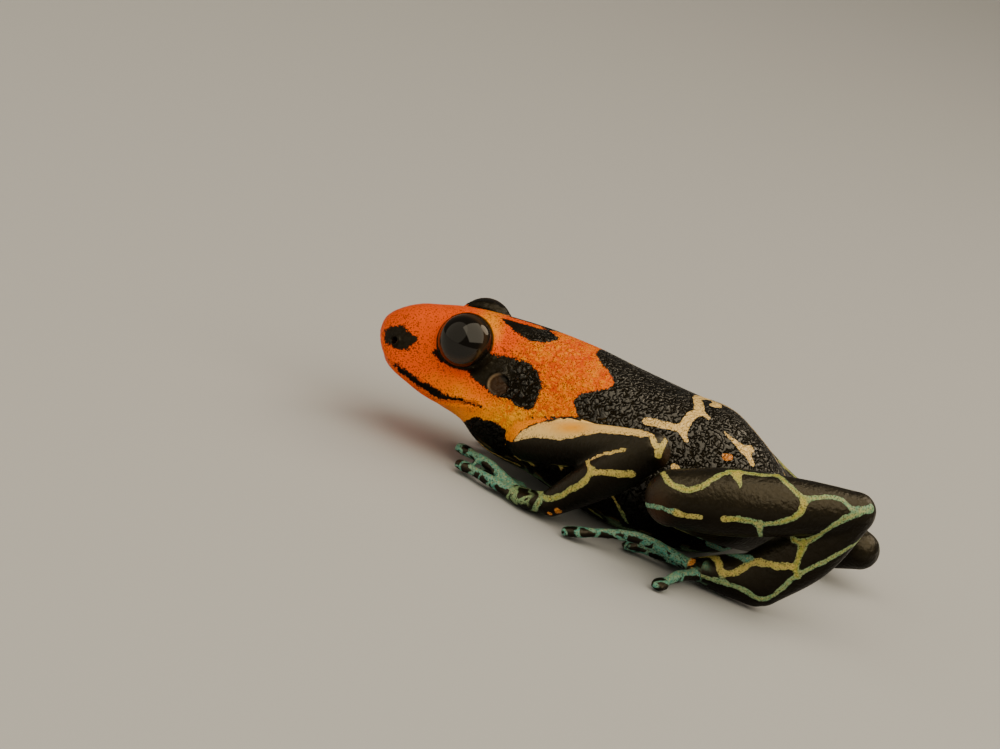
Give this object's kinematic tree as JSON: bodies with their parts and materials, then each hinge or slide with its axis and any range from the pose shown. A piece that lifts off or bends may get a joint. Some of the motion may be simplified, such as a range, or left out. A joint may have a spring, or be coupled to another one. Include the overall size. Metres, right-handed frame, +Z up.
{
  "type": "life-size poison frog model",
  "caption": "Still life-size model of a crouched poison frog with an orange-red hood, a black body with pale lines, dark eyes and slender toes that end in discs.",
  "frame": {"origin": "middle of the frog's own box, at the level of the floor that it rests on", "axes": "+Y towards the rump with the head towards -Y, +X the frog's left side, +Z up"},
  "size_m": [0.0168, 0.026, 0.0073],
  "materials": {
    "head_skin": "satin orange-red skin",
    "body_skin": "glossy granular black skin",
    "limb_skin": "glossy black skin with pale green lines",
    "eye": "high gloss black",
    "eardrum": "satin dark brown"
  },
  "bodies": {
    "root": {"head": "head_skin", "torso": "body_skin", "left_eye": "eye", "left_eardrum": "eardrum", "left_upper_arm": "limb_skin", "left_forearm": "limb_skin", "left_hand": "limb_skin", "left_thigh": "limb_skin", "left_shank": "limb_skin", "left_tarsus": "limb_skin", "left_foot": "limb_skin", "right_eye": "eye", "right_eardrum": "eardrum", "right_upper_arm": "limb_skin", "right_forearm": "limb_skin", "right_hand": "limb_skin", "right_thigh": "limb_skin", "right_shank": "limb_skin", "right_tarsus": "limb_skin", "right_foot": "limb_skin"}
  },
  "joints": []
}
